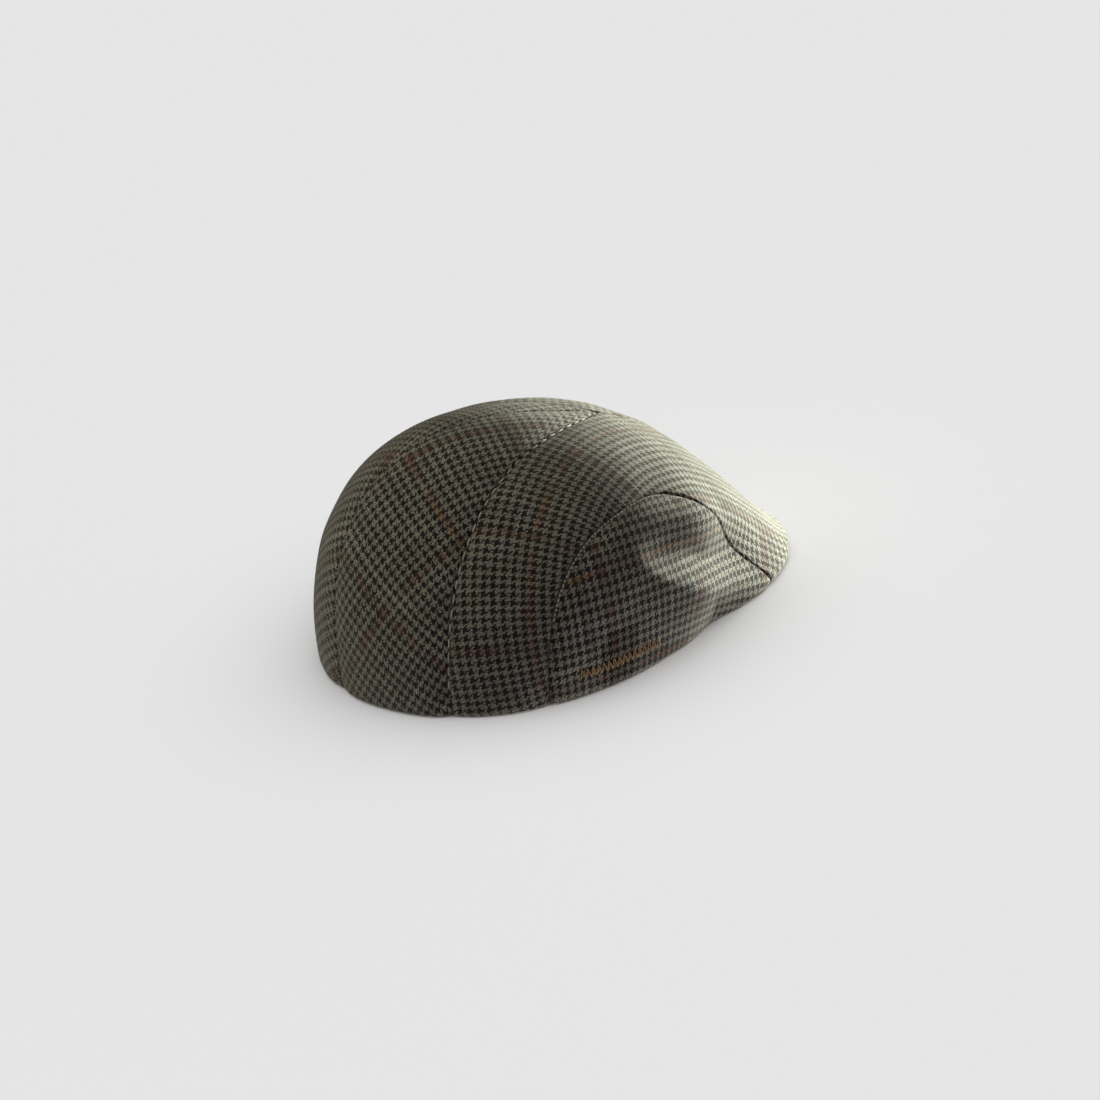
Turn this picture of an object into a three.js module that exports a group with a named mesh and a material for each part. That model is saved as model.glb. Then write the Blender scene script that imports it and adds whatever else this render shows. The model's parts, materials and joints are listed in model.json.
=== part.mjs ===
// A tweed flat cap: six cloth panels sewn round an open crown, and a stiff peak under their front edge.
// Millimetres, +Z up. The peak points to -Y, the wearer's right side is -X, and the hem lies flat on z = 0.
import * as THREE from 'three';

// Cloth
const WALL = 2;
const SEAM_GAP = 0.36;

// Head opening, measured round the outside of the hem
const HEM_LENGTH = 203;
const HEM_WIDTH = 179;
const HEM_EGG = 0.09; // share by which the hem widens towards the back

// Apex: the point where the four crown seams meet, ahead of the middle of the hem
const APEX_AHEAD = 52;
const APEX_HEIGHT = 88.5;
const APEX_SLOPE = 0.5; // fall of the crown towards the front at the apex
const APEX_START = 0.004; // share of a section left open at the apex, where the panel tips meet

// Peak, with angles in degrees from the front
const TEMPLE_ANGLE = 55; // where the hem ends and the rim of the peak begins
const TEMPLE_SOFTNESS = 16; // angle over which the edge's corner at the temple fades out of the crown
const TEMPLE_STEPS = 5;
const TEMPLE_FADE_POWER = 16;
const PEAK_END_ANGLE = 43;
const PEAK_REACH = 75; // from the line through the temples to the front of the rim
const PEAK_THICKNESS = 2.4;
const PEAK_FLOOR_GAP = 0.2;
const PEAK_ARCH = 0.3; // rise of the middle of the peak above its ends
const PEAK_INSET = 0.6; // the cloth reaches this far over the peak's edge
const FOREHEAD_REACH = 30; // from the line through the temples to the peak's inner edge
const FOREHEAD_INSET = 6; // the inner edge's ends lie this far inside the temples

// Crown sections, a row for each direction from the apex, in degrees from the front.
// topReach and wallReach are how far a section runs on level from the apex and straight from the
// bottom edge before it turns; wallLean is how far it leans outwards above that edge, in degrees.
const SECTIONS = [
  { angle: 0, topReach: 39, wallReach: 44, wallLean: -49 },
  { angle: 20, topReach: 31, wallReach: 32, wallLean: -23 },
  { angle: 40, topReach: 30, wallReach: 47, wallLean: 0 },
  { angle: 55, topReach: 35, wallReach: 61, wallLean: 20 },
  { angle: 75, topReach: 45, wallReach: 74, wallLean: 18 },
  { angle: 100, topReach: 60, wallReach: 75, wallLean: 16 },
  { angle: 125, topReach: 79, wallReach: 67, wallLean: 6 },
  { angle: 155, topReach: 103, wallReach: 71, wallLean: 2 },
  { angle: 180, topReach: 105, wallReach: 92, wallLean: 3 },
];

// Back seam, between the back panel and the top panel
const BACK_SEAM_ANGLE = 139; // at the hem
const BACK_SEAM_LEAN = 5; // turn towards the front, up to the apex
const BACK_SEAM_HOOK = 26; // extra turn close to the apex
const BACK_SEAM_HOOK_POWER = 6;

// Side seam: an arch drawn on the side view, in mm ahead of the middle of the hem and above it
const ARCH = { back: -37, top: 26, front: 101, height: 73.5 };
const ARCH_BACK_POWER = 2.4;
const ARCH_FRONT_POWER = 2.2;
const ARCH_FRONT_FALL = 1.1;
const ARCH_MIDDLE_ANGLE = 75; // the middle of its foot

// Fullness of the side above the temple, on the side view
const FULL = { ahead: 55, height: 42, halfLength: 24, halfHeight: 27, rise: 6 };

// Dent pressed into that fullness: its banks run straight from a lip down to a valley
const DENT = { ahead: 58.5, height: 37.5, tilt: -28, depth: 13 };
const DENT_FRONT_LENGTH = 70;
const DENT_BACK_LENGTH = 42;
const DENT_HALF_WIDTH = 14.5;
const DENT_LIP = 0.07; // how round the lip is, as a share of the dent's size
const DENT_VALLEY = 0.14; // how round the valley is

// Facets
const BACK_SEAM_STEPS = 18;
const FRONT_SEAM_STEPS = 12;
const SIDE_SEAM_STEPS = BACK_SEAM_STEPS + FRONT_SEAM_STEPS;
const BACK_COLUMNS = 11;
const TOP_ROWS = 9;
const SIDE_ROWS = 16;
const PEAK_COLUMNS = 28;
const PEAK_ROWS = 4;

// Places worked out from the sizes above
const HALF_LENGTH = HEM_LENGTH / 2;
const HALF_WIDTH = HEM_WIDTH / 2;
const TEMPLE = THREE.MathUtils.degToRad(TEMPLE_ANGLE);
const TEMPLE_X = HALF_WIDTH * Math.sin(TEMPLE) * (1 - HEM_EGG * Math.cos(TEMPLE));
const TEMPLE_AHEAD = HALF_LENGTH * Math.cos(TEMPLE);
const HEM_MIDDLE_Y = (TEMPLE_AHEAD + PEAK_REACH - HALF_LENGTH) / 2;

const { lerp, degToRad, radToDeg, smoothstep } = THREE.MathUtils;
const sine = (degrees) => Math.sin(degToRad(degrees));
const cosine = (degrees) => Math.cos(degToRad(degrees));

// Value of a section column at any angle, as a smooth curve through the rows
function sectionValue(angle, column) {
  const last = SECTIONS.length - 1;
  const slope = (row) => {
    if (row === 0) return 0;
    const before = SECTIONS[row - 1];
    const after = SECTIONS[Math.min(row + 1, last)];
    return (after[column] - before[column]) / (after.angle - before.angle);
  };
  const found = SECTIONS.findIndex((section) => section.angle > angle);
  const row = found === -1 ? last - 1 : found - 1;
  const step = SECTIONS[row + 1].angle - SECTIONS[row].angle;
  const share = (angle - SECTIONS[row].angle) / step;
  const rise = share * share * (3 - 2 * share);
  const start = lerp(SECTIONS[row][column], SECTIONS[row + 1][column], rise);
  const bend = share * (1 - share) * ((1 - share) * slope(row) - share * slope(row + 1));
  return start + bend * step;
}

// Height of the rim: the peak lies under the lower corner of the cloth's edge
function rimHeight(angle) {
  const drop = WALL * Math.max(0, -sine(sectionValue(angle, 'wallLean')));
  const arch = PEAK_ARCH * cosine((90 * angle) / TEMPLE_ANGLE) ** 2;
  const ramp = smoothstep(angle, PEAK_END_ANGLE, TEMPLE_ANGLE);
  return (PEAK_FLOOR_GAP + PEAK_THICKNESS + SEAM_GAP + drop + arch) * (1 - ramp);
}

// Bottom edge of the cloth: the hem behind the temples, the rim of the peak ahead of them
function edgePoint(angle) {
  const size = Math.abs(angle);
  if (size >= TEMPLE_ANGLE) {
    const x = HALF_WIDTH * sine(angle) * (1 - HEM_EGG * cosine(angle));
    return new THREE.Vector3(x, -HALF_LENGTH * cosine(angle), 0);
  }
  const sweep = (90 * angle) / TEMPLE_ANGLE;
  const y = -TEMPLE_AHEAD - PEAK_REACH * cosine(sweep);
  return new THREE.Vector3(TEMPLE_X * sine(sweep), y, rimHeight(size));
}

// The same edge with its corners at the temples rounded off, which steers the crown above it
function softEdge(angle) {
  const sum = new THREE.Vector3();
  let weights = 0;
  for (let step = -TEMPLE_STEPS; step <= TEMPLE_STEPS; step += 1) {
    const weight = TEMPLE_STEPS + 1 - Math.abs(step);
    const turn = (TEMPLE_SOFTNESS * step) / (TEMPLE_STEPS + 1);
    sum.addScaledVector(edgePoint(angle + turn), weight);
    weights += weight;
  }
  return sum.divideScalar(weights);
}

// How far the side stands out at a point of the side view, less the dent pressed into it
function sideRise(ahead, height) {
  const fullAlong = (ahead - FULL.ahead) / FULL.halfLength;
  const fullUp = (height - FULL.height) / FULL.halfHeight;
  const full = FULL.rise * Math.exp(-fullAlong * fullAlong - fullUp * fullUp);
  const x = ahead - DENT.ahead;
  const z = height - DENT.height;
  const along = x * cosine(DENT.tilt) + z * sine(DENT.tilt);
  const across = z * cosine(DENT.tilt) - x * sine(DENT.tilt);
  const length = along > 0 ? DENT_FRONT_LENGTH : DENT_BACK_LENGTH;
  const bank = 1 - Math.hypot(along / length, across / DENT_HALF_WIDTH, DENT_VALLEY);
  return full - (DENT.depth * (bank + Math.hypot(bank, DENT_LIP))) / 2;
}

// Point of the smooth crown: angle from the front, share of the way from the apex to the bottom edge
function smoothPoint(angle, share) {
  const size = Math.abs(((angle + 180) % 360) - 180);
  const topReach = sectionValue(size, 'topReach');
  const wallReach = sectionValue(size, 'wallReach');
  const wallLean = sectionValue(size, 'wallLean');
  const edge = softEdge(angle);
  const corner = edgePoint(angle).sub(edge);
  const apex = new THREE.Vector3(0, -APEX_AHEAD, APEX_HEIGHT);
  const outward = new THREE.Vector3(edge.x, edge.y - apex.y, 0).normalize();
  const top = apex.clone().addScaledVector(outward, topReach);
  top.z += APEX_SLOPE * outward.y * topReach;
  const wall = edge.clone().addScaledVector(outward, wallReach * sine(wallLean));
  wall.z += wallReach * cosine(wallLean);
  const point = new THREE.CubicBezierCurve3(apex, top, wall, edge).getPoint(share);
  return point.addScaledVector(corner, share ** TEMPLE_FADE_POWER);
}

function smoothNormal(angle, share) {
  const turn = 0.2;
  const step = 0.002;
  const along = smoothPoint(angle + turn, share).sub(smoothPoint(angle - turn, share));
  const lower = Math.min(1, share + step);
  const down = smoothPoint(angle, lower).sub(smoothPoint(angle, lower - 2 * step));
  return down.cross(along).normalize();
}

// Outer and inner face of the cloth at a place, with the side shaped and the hem cut level.
// A panel's edge along a seam is cut square to the cloth at the seam's own angle.
function clothPoints({ angle, share, seam = angle }) {
  const outer = smoothPoint(angle, share);
  const normal = smoothNormal(seam, share);
  outer.addScaledVector(normal, sideRise(-outer.y, outer.z) * (1 - share ** 8));
  const inner = outer.clone().addScaledVector(normal, -WALL);
  if (share === 1 && angle >= TEMPLE_ANGLE) inner.z = outer.z;
  return { outer, inner };
}

// Flat map of the crown: the apex in the middle, the bottom edge on a circle of radius 1
function mapPoint({ angle, share }) {
  return new THREE.Vector2(share * sine(angle), -share * cosine(angle));
}

function mapPlace(point) {
  return { angle: radToDeg(Math.atan2(point.x, -point.y)), share: point.length() };
}

// Angle of half a seam gap at a place of the crown, seen from the apex
function gapAngle(angle, share) {
  const point = smoothPoint(angle, share);
  const reach = Math.hypot(point.x, point.y + APEX_AHEAD);
  return radToDeg(SEAM_GAP / 2 / reach);
}

function backSeamAngle(share) {
  const hook = BACK_SEAM_HOOK * (1 - share) ** BACK_SEAM_HOOK_POWER;
  return BACK_SEAM_ANGLE - BACK_SEAM_LEAN * (1 - share) - hook;
}

// Height of the side arch, made larger or smaller all round by grow
function archHeight(ahead, grow) {
  const height = ARCH.height + grow;
  if (ahead < ARCH.top) {
    const share = Math.min(1, (ARCH.top - ahead) / (ARCH.top - ARCH.back + grow));
    return height * (1 - share ** ARCH_BACK_POWER) ** (1 / ARCH_BACK_POWER);
  }
  const share = Math.min(1, (ahead - ARCH.top) / (ARCH.front - ARCH.top + grow));
  return height * (1 - share ** ARCH_FRONT_POWER) ** ARCH_FRONT_FALL;
}

// Halves a range until it closes on the value where the test changes
function findChange(from, to, test) {
  let low = from;
  let high = to;
  for (let halving = 0; halving < 40; halving += 1) {
    const middle = (low + high) / 2;
    if (test(middle) === test(from)) low = middle;
    else high = middle;
  }
  return (low + high) / 2;
}

// Side seam as places from the rim to the hem, found along a fan of lines from the middle of its foot
function sideSeam(grow) {
  const insideArch = ({ angle, share }) => {
    const point = smoothPoint(angle, share);
    return point.z < archHeight(-point.y, grow);
  };
  const onEdge = (angle) => insideArch({ angle, share: 0.995 });
  const front = { angle: findChange(0, ARCH_MIDDLE_ANGLE, onEdge), share: 1 };
  const back = { angle: findChange(BACK_SEAM_ANGLE, ARCH_MIDDLE_ANGLE, onEdge), share: 1 };
  const middle = mapPoint({ angle: ARCH_MIDDLE_ANGLE, share: 1 });
  const frontHeading = mapPoint(front).sub(middle).angle();
  const backHeading = mapPoint(back).sub(middle).angle();
  const longestLine = 0.8;
  const seam = [front];
  for (let step = 1; step < SIDE_SEAM_STEPS; step += 1) {
    const heading = lerp(frontHeading, backHeading, step / SIDE_SEAM_STEPS);
    const line = new THREE.Vector2(Math.cos(heading), Math.sin(heading));
    const placeAt = (length) => mapPlace(middle.clone().addScaledVector(line, length));
    seam.push(placeAt(findChange(0, longestLine, (length) => insideArch(placeAt(length)))));
  }
  seam.push(back);
  return seam;
}

// Closed slab between two grids of points, with columns across and rows down
function slabGeometry(columns, rows, pointsAt, mirrored) {
  const outer = [];
  const inner = [];
  for (let i = 0; i <= columns; i += 1) {
    for (let j = 0; j <= rows; j += 1) {
      const points = pointsAt(i, j);
      outer.push(points.outer);
      inner.push(points.inner);
    }
  }
  const vertices = [...outer, ...inner];
  const under = outer.length;
  const at = (i, j) => i * (rows + 1) + j;
  const faces = [];
  const quad = (a, b, c, d) => faces.push([a, b, c], [a, c, d]);
  for (let i = 0; i < columns; i += 1) {
    for (let j = 0; j < rows; j += 1) {
      const corners = [at(i, j), at(i, j + 1), at(i + 1, j + 1), at(i + 1, j)];
      const below = corners.map((corner) => corner + under).reverse();
      quad(...corners);
      quad(...below);
    }
    quad(at(i, 0), at(i + 1, 0), at(i + 1, 0) + under, at(i, 0) + under);
    quad(at(i + 1, rows), at(i, rows), at(i, rows) + under, at(i + 1, rows) + under);
  }
  for (let j = 0; j < rows; j += 1) {
    quad(at(0, j + 1), at(0, j), at(0, j) + under, at(0, j + 1) + under);
    quad(at(columns, j), at(columns, j + 1), at(columns, j + 1) + under, at(columns, j) + under);
  }
  const side = mirrored ? -1 : 1;
  const positions = vertices.flatMap((point) => [side * point.x, point.y + HEM_MIDDLE_Y, point.z]);
  const indices = faces.flatMap((face) => (mirrored ? [...face].reverse() : face));
  const geometry = new THREE.BufferGeometry();
  geometry.setAttribute('position', new THREE.Float32BufferAttribute(positions, 3));
  geometry.setIndex(indices);
  geometry.computeVertexNormals();
  return geometry;
}

// Back panel: from the back seam round to the centre-back seam
function backPanel(mirrored) {
  const pointsAt = (i, j) => {
    const share = lerp(APEX_START, 1, j / BACK_SEAM_STEPS);
    const seams = { 0: backSeamAngle(share), [BACK_COLUMNS]: 180 };
    const from = seams[0] + gapAngle(seams[0], share);
    const to = 180 - gapAngle(180, share);
    return clothPoints({ angle: lerp(from, to, i / BACK_COLUMNS), share, seam: seams[i] });
  };
  return slabGeometry(BACK_COLUMNS, BACK_SEAM_STEPS, pointsAt, mirrored);
}

// Inner edge of a top panel: up the front centre seam to the apex, then down the back seam to the hem
function topInnerEdge(column) {
  if (column < FRONT_SEAM_STEPS) {
    const share = lerp(1, APEX_START, column / FRONT_SEAM_STEPS);
    return { angle: gapAngle(0, share), share, seam: 0 };
  }
  const share = lerp(APEX_START, 1, (column - FRONT_SEAM_STEPS) / BACK_SEAM_STEPS);
  const seam = backSeamAngle(share);
  if (column === FRONT_SEAM_STEPS) return { angle: seam / 2, share };
  return { angle: seam - gapAngle(seam, share), share, seam };
}

// Top panel: a band from the rim over the crown to the hem, between its inner edge and the side seam
function topPanel(mirrored) {
  const outerEdge = sideSeam(SEAM_GAP / 2);
  const last = SIDE_SEAM_STEPS;
  const endPlace = (column, across) => {
    const angle = lerp(topInnerEdge(column).angle, outerEdge[column].angle, across);
    return { angle, share: 1 };
  };
  const straight = (column, across) => {
    const from = mapPoint(topInnerEdge(column));
    return from.lerp(mapPoint(outerEdge[column]), across);
  };
  const bulge = (column, across) => mapPoint(endPlace(column, across)).sub(straight(column, across));
  const pointsAt = (i, j) => {
    const across = j / TOP_ROWS;
    if (j === 0) return clothPoints(topInnerEdge(i));
    if (i === 0 || i === last) return clothPoints(endPlace(i, across));
    if (j === TOP_ROWS) return clothPoints(outerEdge[i]);
    const ends = bulge(0, across).lerp(bulge(last, across), i / last);
    return clothPoints(mapPlace(straight(i, across).add(ends)));
  };
  return slabGeometry(last, TOP_ROWS, pointsAt, mirrored);
}

// Side panel: inside the side arch, down to the rim of the peak and the hem, with a column at the temple
function sidePanel(mirrored) {
  const seam = sideSeam(-SEAM_GAP / 2);
  const last = SIDE_SEAM_STEPS - 2;
  const front = seam[0].angle;
  const back = seam[SIDE_SEAM_STEPS].angle;
  const templeColumn = Math.round((last * (TEMPLE_ANGLE - front)) / (back - front));
  const footAngle = (column) => {
    if (column < templeColumn) return lerp(front, TEMPLE_ANGLE, column / templeColumn);
    return lerp(TEMPLE_ANGLE, back, (column - templeColumn) / (last - templeColumn));
  };
  const pointsAt = (i, j) => {
    const foot = { angle: footAngle(i), share: 1 };
    if (j === SIDE_ROWS) return clothPoints(foot);
    const top = mapPoint(seam[i + 1]);
    return clothPoints(mapPlace(top.lerp(mapPoint(foot), j / SIDE_ROWS)));
  };
  return slabGeometry(last, SIDE_ROWS, pointsAt, mirrored);
}

// Peak: a crescent from the forehead to the rim, under the edge of the cloth
function peakPlate() {
  const pointsAt = (i, j) => {
    const angle = PEAK_END_ANGLE * ((2 * i) / PEAK_COLUMNS - 1);
    const sweep = (90 * angle) / TEMPLE_ANGLE;
    const rim = edgePoint(angle);
    const centre = new THREE.Vector3(0, -APEX_AHEAD, rim.z);
    rim.addScaledVector(centre.sub(rim).normalize(), PEAK_INSET);
    const foreheadX = (TEMPLE_X - FOREHEAD_INSET) * sine(sweep);
    const foreheadY = -TEMPLE_AHEAD - FOREHEAD_REACH * cosine(sweep);
    const forehead = new THREE.Vector3(foreheadX, foreheadY, rim.z);
    const outer = forehead.lerp(rim, j / PEAK_ROWS);
    const drop = WALL * Math.max(0, -sine(sectionValue(Math.abs(angle), 'wallLean')));
    outer.z = rim.z - drop - SEAM_GAP;
    const inner = outer.clone();
    inner.z -= PEAK_THICKNESS;
    return { outer, inner };
  };
  return slabGeometry(PEAK_COLUMNS, PEAK_ROWS, pointsAt, false);
}

function tweed(colour) {
  return new THREE.MeshStandardMaterial({ color: colour, roughness: 0.95, metalness: 0 });
}

const cap = new THREE.Group();

function addPiece(name, geometry, material) {
  const mesh = new THREE.Mesh(geometry, material);
  mesh.name = name;
  cap.add(mesh);
}

const backTweed = tweed(0x4b4d43);
const topTweed = tweed(0x5a5c50);
const sideTweed = tweed(0x45453f);
const peakTweed = tweed(0x6a6b5e);

for (const side of ['right', 'left']) {
  const mirrored = side === 'right';
  addPiece(`back_panel_${side}`, backPanel(mirrored), backTweed);
  addPiece(`top_panel_${side}`, topPanel(mirrored), topTweed);
  addPiece(`side_panel_${side}`, sidePanel(mirrored), sideTweed);
}
addPiece('peak', peakPlate(), peakTweed);

export default cap;
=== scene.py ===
"""Tweed flat cap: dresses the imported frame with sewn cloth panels, a covered peak, thread and a stage."""
import json

import bpy
import numpy as np
from mathutils import Matrix, Vector, noise

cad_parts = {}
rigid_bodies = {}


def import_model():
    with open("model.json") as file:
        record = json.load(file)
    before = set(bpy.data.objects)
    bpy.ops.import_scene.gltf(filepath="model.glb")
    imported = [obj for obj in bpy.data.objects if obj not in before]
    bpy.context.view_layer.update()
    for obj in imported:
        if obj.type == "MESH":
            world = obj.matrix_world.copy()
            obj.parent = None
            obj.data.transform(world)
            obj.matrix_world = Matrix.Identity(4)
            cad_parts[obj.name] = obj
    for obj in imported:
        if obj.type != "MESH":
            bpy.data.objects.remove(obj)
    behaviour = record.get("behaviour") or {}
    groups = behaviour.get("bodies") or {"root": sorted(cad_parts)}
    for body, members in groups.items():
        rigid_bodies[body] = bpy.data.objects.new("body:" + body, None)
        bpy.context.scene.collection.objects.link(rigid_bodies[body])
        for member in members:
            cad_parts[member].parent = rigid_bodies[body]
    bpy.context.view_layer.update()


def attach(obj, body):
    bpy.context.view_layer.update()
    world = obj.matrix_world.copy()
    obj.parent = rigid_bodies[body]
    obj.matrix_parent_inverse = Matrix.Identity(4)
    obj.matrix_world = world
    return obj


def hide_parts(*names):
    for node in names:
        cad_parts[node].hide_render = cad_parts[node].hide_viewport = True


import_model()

bl_info = {
    "name": "Tweed flat cap",
    "version": (1, 0, 0),
    "blender": (4, 5, 0),
    "location": "3D View > Sidebar > Flat cap",
    "description": "Builds the sewn cloth, the covered peak and the thread of a tweed flat cap",
    "category": "Object",
}

MM = 0.001
SIDES = ("right", "left")
CLOTH_PLACE = "cloth_place"  # attribute with each point's place on the cloth, or on the cap for thread
WOOLS = {  # colours of the tweed, and the settings that hold them
    "Pale": "pale_wool",
    "Dark": "dark_wool",
    "Rust": "rust_wool",
    "Ochre": "ochre_wool",
    "Navy": "navy_wool",
    # pale colour of loose fibres, painted over the weave as a sheen where the cloth is seen edge on
    "Fuzz_and_sheen": "fuzz_and_sheen",
}

# Head opening and crown: millimetres about the hem's middle, peak to -Y, degrees from the front
HEM_LENGTH = 203.0
HEM_WIDTH = 179.0
HEM_EGG = 0.09
APEX_AHEAD = 52.0
APEX_HEIGHT = 88.5
APEX_SLOPE = 0.5
APEX_START = 0.004
TEMPLE_ANGLE = 55.0
TEMPLE_SOFTNESS = 16.0  # angle over which the corner of the edge at the temple fades out of the crown
TEMPLE_STEPS = 5
TEMPLE_FADE_POWER = 16
PEAK_END_ANGLE = 43.0
PEAK_REACH = 75.0
PEAK_ARCH = 0.3
PEAK_UNDER = 0.3  # heights of the covered peak's two faces
PEAK_TOP = 2.6
PEAK_ROUND = 1.1
RIM_LIFT = 2.96  # peak, its gap over the floor and the gap under the cloth
WALL = 2.0
FOREHEAD_REACH = 30.0
FOREHEAD_INSET = 6.0

# Crown sections, a column for each direction from the apex
SECTION_ANGLE = (0, 20, 40, 55, 75, 100, 125, 155, 180)
TOP_REACH = (39, 31, 30, 35, 45, 60, 79, 103, 105)
WALL_REACH = (44, 32, 47, 61, 74, 75, 67, 71, 92)
WALL_LEAN = (-49, -23, 0, 20, 18, 16, 6, 2, 3)

# Back seam and side seam
BACK_SEAM_ANGLE = 139.0
BACK_SEAM_LEAN = 5.0
BACK_SEAM_HOOK = 26.0
BACK_SEAM_HOOK_POWER = 6
ARCH_BACK = -37.0
ARCH_TOP = 26.0
ARCH_FRONT = 101.0
ARCH_HEIGHT = 73.5
ARCH_BACK_POWER = 2.4
ARCH_FRONT_POWER = 2.2
ARCH_FRONT_FALL = 1.1
ARCH_MIDDLE_ANGLE = 75.0
ARCH_LONGEST_LINE = 0.8
FRONT_SEAM_PART = 0.4  # share of a top panel's columns that start at the front centre seam

# Fullness of the side above the temple, on the side view
FULL_AHEAD = 55.0
FULL_HEIGHT = 42.0
FULL_HALF_LENGTH = 24.0
FULL_HALF_HEIGHT = 27.0
FULL_RISE = 6.0

# Dent pressed into that fullness: its banks run straight from a lip down to a valley
DENT_AHEAD = 58.5
DENT_HEIGHT = 37.5
DENT_TILT = -28.0
DENT_DEPTH = 13.0
DENT_FRONT_LENGTH = 70.0
DENT_BACK_LENGTH = 42.0
DENT_HALF_WIDTH = 14.5
DENT_LIP = 0.07  # how round the lip is, as a share of the dent's size
DENT_VALLEY = 0.14  # how round the valley is

# Places worked out from the sizes above
HALF_LENGTH = HEM_LENGTH / 2
HALF_WIDTH = HEM_WIDTH / 2
TEMPLE = np.radians(TEMPLE_ANGLE)
TEMPLE_X = HALF_WIDTH * np.sin(TEMPLE) * (1 - HEM_EGG * np.cos(TEMPLE))
TEMPLE_AHEAD = HALF_LENGTH * np.cos(TEMPLE)
HEM_MIDDLE = np.array([0.0, (TEMPLE_AHEAD + PEAK_REACH - HALF_LENGTH) / 2, 0.0])
APEX = np.array([0.0, -APEX_AHEAD, APEX_HEIGHT])

# Folded edge of the cloth, in millimetres and degrees
RIM_END_ANGLE = 40.0  # where the fold at the rim of the peak starts to change into the hem's
HEM_TURN = 180.0
RIM_TURN = 130.0
RIM_TUCK = 0.4
FOLD_GAP = 0.08  # height of the folded edge above the floor
LIFT_START = 0.86  # share of the way down the crown from which the edge is lifted clear of the floor
LEAST_FALL = 0.2  # least steepness that this lift reckons with
SIDE_FADE_POWER = 8  # how late the shape of the side fades out towards the edge
LOWEST = (-np.inf, -np.inf, 0.02)  # no point of the cloth lies lower than this

# Steps with which slopes are measured and places are found
ANGLE_STEP = 0.2
SHARE_STEP = 0.002
EDGE_STEP = 0.01
NEAR_EDGE = 0.995  # share of the way down at which the ends of the side seam are looked for
HALVINGS = 40
TINY = 1e-12
TIP_SIZE = 1e-5  # cells of a grid below this size have no direction of their own

# Grid of each panel
BACK_COLUMNS = 44
BACK_ROWS = 84
TOP_COLUMNS = 140
TOP_ROWS = 44
SIDE_COLUMNS = 110
SIDE_ROWS = 44
SIDE_ROW_POWER = 1.25  # how much the side panel's rows crowd towards its seam
SIDE_END_PART = 0.004  # part of the side seam beyond the side panel's first and last columns
FINE_ENDS = 0.75  # how much the steps shorten towards the seams; 0 for even steps
FOLD_STEPS = 6
TUCK_STEPS = 3
BEFORE_FOLD = -FOLD_STEPS - TUCK_STEPS - 1  # last row of a panel above its folded hem
SEAM_TOUCH = 0.06  # half of the gap left between two panels, in millimetres
PEAK_COLUMNS = 96
PEAK_ROWS = 12
PEAK_INSET = 1.6  # distance of the covered peak inside the edge of the cloth, in millimetres
PEAK_EDGE = 0.06  # share of the peak's depth that is rounded at each edge

# Pull of the seams, waves and puckers
PULL_FADE = (20.0, 70.0)  # millimetres ahead over which the seams pull less
PULL_LOSS = 0.8  # share of the pull that is lost there
WAVE_SEED = 1
PUCKER_SEED = 5
NOISE_SHIFT = (1.0, 1.7, -1.0)  # shift of the noise for each seed

# Stitches, in millimetres and degrees
STITCH_RINGS = 7
STITCH_SIDES = 8
STITCH_BLUNTNESS = 6
STITCH_TIP = 0.05  # area of a stitch's tips, as a share of its middle's
STITCH_BOW = 0.45  # height of a stitch's bow, in widths of the thread
STITCH_FLATNESS = 0.7
STITCH_LIFT = 0.55  # height above the bottom of the seam
EDGE_LIFT = 0.1  # extra height of the side seam's stitches
LINE_POINTS = 400
BACK_STITCHED = (0.05, 0.97)  # parts of the back seam and of the side seam with stitches
SIDE_STITCHED = (0.4, 0.86)
SIDE_STITCH_INSET = 0.5
ZIGZAG_STITCHES = 32
ZIGZAG_START = 77.0
ZIGZAG_SPAN = 25.0
ZIGZAG_LEVEL = 0.945  # share of the way down the crown, and the swing to either side of it
ZIGZAG_SWING = 0.016
ZIGZAG_LIFT = 0.1
ZIGZAG_WIDTH = 0.9  # width of its thread, as a share of the seam thread's

# Weave: yarns of the twill and of a houndstooth repeat, and how its colours show
TWILL_YARNS = 4.0
TWILL_OVER = 2
TOOTH_YARNS = 8.0
TOOTH_PALE = 4
LINE_SHOWN = 0.45  # how much of the lines shows, and how much that changes from tooth to tooth
LINE_TOOTH = 0.5
LINE_LEAST = 0.08
LINE_COVER = 0.9
LINE_ON_DARK = 0.3
OCHRE_SHARE = 0.4
NAVY_SHARE = 0.2
YARN_SHADE = 0.7  # how much the yarns differ, and the shade of the darkest
YARN_DARKEST = 0.68
TUFT_SCALE = 1900.0
TUFT_DETAIL = 3.0
TUFT_SHADE = 3.2
TUFT_RELIEF = 0.8
SHADE_LEAST = 0.2
# how sharply the painted sheen of the fibres takes over towards edge on
FUZZ_AND_SHEEN_POWER = 2.5
TOOTH_SHIFT = 61.7  # these keep the random values of different teeth and yarns apart
WARP_SHIFT = 0.37
WEAVE_NOISE = {  # scale, gain and detail
    "sway": (90.0, 1.6, 2.0),
    "warp_fray": (1100.0, 3.2, 2.0),
    "weft_fray": (1300.0, 3.2, 2.0),
    "line_gaps": (42.0, 3.4, 1.0),
    "ochre_drift": (30.0, 4.0, 2.0),
    "navy_drift": (55.0, 5.0, 2.0),
    "blotches": (60.0, 0.7, 3.0),
}
TWEED_RELIEF = {"Strength": 0.6, "Distance": 0.0003}
TWEED_FINISH = {
    "Roughness": 0.95,
    "Specular IOR Level": 0.1,
    "Sheen Weight": 0.24,
    "Sheen Roughness": 0.5,
    "Sheen Tint": (0.9, 0.9, 0.75, 1.0),
}

# Twist of the thread, with painted shade in its low parts
TWIST_SCALE = 2500.0
TWIST_DETAIL = 2.0
TWIST_SHADE_SHARE = 0.4
TWIST_SHADOW = (0.02, 0.02, 0.02)
THREAD_RELIEF = {"Strength": 0.4, "Distance": 0.0002}
THREAD_FINISH = {"Roughness": 0.7, "Sheen Weight": 0.2}

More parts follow.
